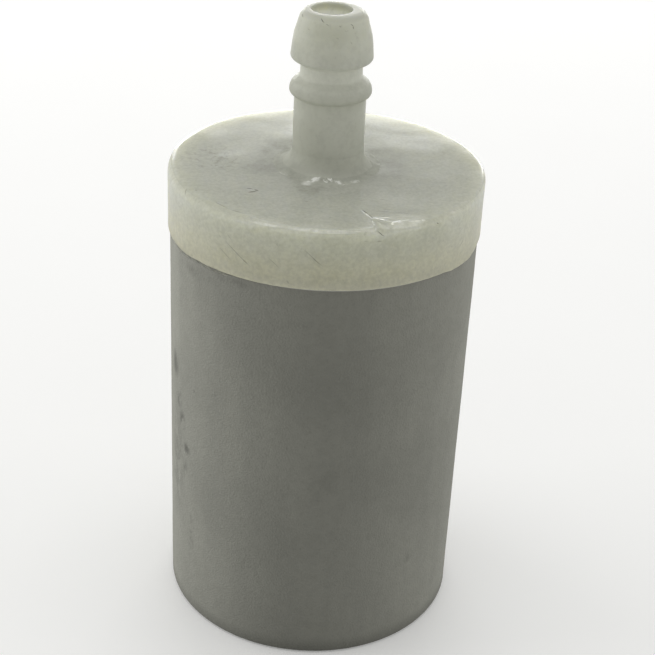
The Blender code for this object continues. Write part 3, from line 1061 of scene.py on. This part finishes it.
def make_weld():
    """The low uneven bead round the flared foot, thinning out over the plate."""
    foot = CAP_TOP - 0.20 * MM
    steps = 36

    def section(bearing):
        """The (r, z) outline at one bearing."""
        inner = weld_inside(bearing)
        outer = weld_outside(bearing)
        points = []
        for step in range(steps + 1):
            r = inner + (outer - inner) * step / steps
            grain = 0.03 * MM * around(bearing, r, 0.35 * MM, 12.0)
            height = foot_height(bearing, r) + 0.012 * MM
            height += grain * math.sin(math.pi * step / steps)
            height -= 0.05 * MM * smoothstep(0.5, 1.0, step / steps)
            points.append((r, CAP_TOP + height))
        return points + [(outer, foot), (inner, foot)]

    bearings = bearings_round(1.8, (-150.0, -20.0, 0.8), (-108.0, -62.0, 0.5))
    return turned("stem_weld_bead_uneven", bearings, section, sharp=60.0)


def weld_outside(bearing):
    """The weld bead's ragged outer edge, where it sinks into the plate."""
    ragged = 0.30 * MM * around(bearing, 5.0 * MM, 2.2 * MM, 14.0)
    ragged += 0.18 * MM * around(bearing, 5.0 * MM, 0.6 * MM, 15.0)
    return MELT_REACH + 0.62 * MM + ragged


# ---- bond film ---------------------------------------------------------------------------
def make_film():
    """The bonding film between skirt and sleeve, squeezed out raggedly at the left."""
    inner = CAP_RADIUS - SKIRT_THICKNESS
    ledge = SLEEVE_RADIUS - 0.28 * MM

    def section(bearing):
        """The (r, z) outline at one bearing."""
        top = skirt_bottom(bearing) - 0.01 * MM
        floor = film_floor(bearing) + 0.01 * MM
        left = squeezed(bearing)
        ragged = 0.55 + 0.45 * around(bearing, CAP_RADIUS, 0.55 * MM, 31.0)
        ragged += 0.3 * around(bearing, CAP_RADIUS, 0.2 * MM, 32.0)
        outer = SLEEVE_RADIUS - 0.24 * MM + 0.27 * MM * smoothstep(0.05, 0.4, left)
        lower = min(floor + 0.05 * MM, top - 0.04 * MM) - 0.07 * MM * left * max(ragged, 0.0)
        return [
            (inner, top),
            (outer, top),
            (outer, lower + 0.03 * MM),
            (outer - 0.04 * MM, lower),
            (ledge, lower),
            (ledge, floor),
            (inner, floor),
        ]

    return turned("cap_bond_film", bearings_round(1.0, (-180.0, -100.0, 0.4)), section)


def film_floor(bearing):
    """Height of the sleeve's shoulder, on which the film lies."""
    return skirt_bottom(bearing) - SEAM_HEIGHT


# ---- porous sleeve and end disc ----------------------------------------------------------
def make_sleeve():
    """The sintered tube: rounded lower edge, neck in the cap's groove, counterbored end."""
    edge = 0.45 * MM
    counterbore = DISC_RADIUS + 0.2 * MM
    counterbore_top = DISC_THICKNESS + 0.9 * MM
    rows = 120

    def section(bearing):
        """The (r, z) outline at one bearing."""
        floor = film_floor(bearing)
        lip = skirt_bottom(bearing) - 0.006 * MM - 0.29 * MM * squeezed(bearing)
        points = [
            (NECK_RADIUS, SLEEVE_TOP),
            (NECK_RADIUS, floor),
            (SLEEVE_RADIUS - 0.21 * MM, floor),
            (SLEEVE_RADIUS - 0.20 * MM, lip),
        ]
        for row in range(rows):
            z = lip - (lip - edge) * row / rows
            points.append((wall_radius(bearing, z), z))
        base = wall_radius(bearing, edge)
        points += arc(base - edge, edge, edge, edge, 0.0, -90.0, 8)
        points += [
            (counterbore + 0.1 * MM, 0.0),
            (counterbore, 0.1 * MM),
            (counterbore, counterbore_top),
            (SLEEVE_BORE, counterbore_top),
            (SLEEVE_BORE, SLEEVE_TOP),
        ]
        return points

    return turned("porous_sleeve_sintered", bearings_round(1.0), section)


def wall_radius(bearing, z):
    """The sintered wall's radius, a little uneven."""
    x, y = spot(bearing, SLEEVE_RADIUS)
    slow = 0.03 * MM * ripple(x, y, z, 7.0 * MM, 21.0)
    fine = 0.008 * MM * ripple(x, y, z, 0.6 * MM, 22.0)
    return SLEEVE_RADIUS - 0.03 * MM + slow + fine


def make_disc():
    """The sintered disc in the sleeve's counterbore."""
    edge = 0.12 * MM
    outline = [
        (0.0, DISC_THICKNESS),
        (DISC_RADIUS - 0.3 * MM, DISC_THICKNESS),
        (DISC_RADIUS, DISC_THICKNESS - 0.3 * MM),
        *arc(DISC_RADIUS - edge, edge, edge, edge, 0.0, -90.0, 4),
        (0.0, 0.0),
    ]
    return lathe("porous_end_disc_sintered", refined(outline, 0.6 * MM), bearings_round(2.0))


# ---- stage -------------------------------------------------------------------------------
def make_floor(material):
    """A large sheet of pale paper under the muffler."""
    mesh = bmesh.new()
    bmesh.ops.create_grid(mesh, x_segments=8, y_segments=8, size=2.0)
    floor = finished("floor", mesh)
    floor.data.materials.append(material)


def softbox(name, place_at, aim_at, width, height, power, only=()):
    """A rectangular soft light at one point, facing another.

    With only, it is flagged off every other piece.
    """
    data = bpy.data.lights.new(name, "AREA")
    data.shape = "RECTANGLE"
    data.size = width
    data.size_y = height
    data.energy = power
    lamp = bpy.data.objects.new(name, data)
    bpy.context.scene.collection.objects.link(lamp)
    facing = (Vector(aim_at) - Vector(place_at)).to_track_quat("-Z", "Y")
    lamp.matrix_world = Matrix.Translation(place_at) @ facing.to_matrix().to_4x4()
    if only:
        lit = bpy.data.collections.new(name + "_lit")
        for piece in only:
            lit.objects.link(piece)
        lamp.light_linking.receiver_collection = lit


LEFT_SIDE = (-0.50, 0.12, 0.25)
RIGHT_SIDE = (0.50, 0.12, 0.25)
LOW_AIM = (0.0, 0.0, 0.03)
ROOM_COLOUR = (1.0, 1.0, 0.975, 1.0)


def make_lights(sintered):
    """A low bright panel behind, boxes at the sides and overhead, and a pale room.

    Most of the side light is flagged so that it falls on the sintered pieces alone.
    """
    softbox("back_panel", (0.0, 0.60, 0.1325), (0.0, 0.0, 0.1325), 0.5, 0.265, 1.67)
    softbox("left_box", LEFT_SIDE, LOW_AIM, 0.5, 0.5, 0.95)
    softbox("right_box", RIGHT_SIDE, LOW_AIM, 0.5, 0.5, 0.4)
    softbox("top_box", (0.0, 0.10, 0.70), (0.0, 0.0, 0.0), 0.5, 0.5, 0.8)
    softbox("left_low_box", LEFT_SIDE, LOW_AIM, 0.5, 0.5, 3.85, sintered)
    softbox("right_low_box", RIGHT_SIDE, LOW_AIM, 0.5, 0.5, 2.25, sintered)
    world = bpy.data.worlds.new("pale_room")
    world.use_nodes = True
    background = world.node_tree.nodes["Background"]
    background.inputs["Color"].default_value = ROOM_COLOUR
    background.inputs["Strength"].default_value = 0.48
    bpy.context.scene.world = world


def make_camera():
    """Close above the object's front, tilted a little clockwise, as in the photo."""
    aim = Vector((0.755, 0.0, 27.42)) * MM
    distance = 135.56 * MM
    elevation = math.radians(28.6)
    tilt = math.radians(2.87)
    forward = Vector((0.0, math.cos(elevation), -math.sin(elevation)))
    right = Vector((1.0, 0.0, 0.0))
    up = right.cross(forward)
    right_tilted = math.cos(tilt) * right + math.sin(tilt) * up
    up_tilted = math.cos(tilt) * up - math.sin(tilt) * right
    data = bpy.data.cameras.new("camera")
    data.lens = 79.7
    data.sensor_width = 36.0
    data.clip_start = 0.005
    camera = bpy.data.objects.new("camera", data)
    turned = Matrix((right_tilted, up_tilted, -forward)).transposed().to_4x4()
    camera.matrix_world = Matrix.Translation(aim - forward * distance) @ turned
    bpy.context.scene.collection.objects.link(camera)
    bpy.context.scene.camera = camera


# ---- build -------------------------------------------------------------------------------
def build():
    """Make and place every piece, then the floor, the lights and the camera."""
    bpy.context.scene.view_settings.view_transform = "Standard"
    cap = cap_material()
    barb = barb_material()
    weld = weld_material()
    porous = porous_material()
    place(make_cap(), cap, "cap_plastic", "end_cap")
    place(make_barb(), barb, "cap_plastic", "hose_barb")
    place(make_weld(), weld, "weld_plastic", "stem_weld_bead")
    place(make_film(), film_material(), "weld_plastic", "cap_bond_ring")
    sleeve = place(make_sleeve(), porous, "porous_plastic", "porous_sleeve")
    disc = place(make_disc(), porous, "porous_plastic", "porous_end_disc")
    kept = {
        "end_bond_ring": weld,
        "perforated_core": core_material(),
        "felt_liner": felt_material(),
    }
    for node, material in kept.items():
        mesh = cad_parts[node].data
        mesh.materials.clear()
        mesh.materials.append(material)
    make_floor(floor_material())
    make_lights((sleeve, disc))
    make_camera()


build()
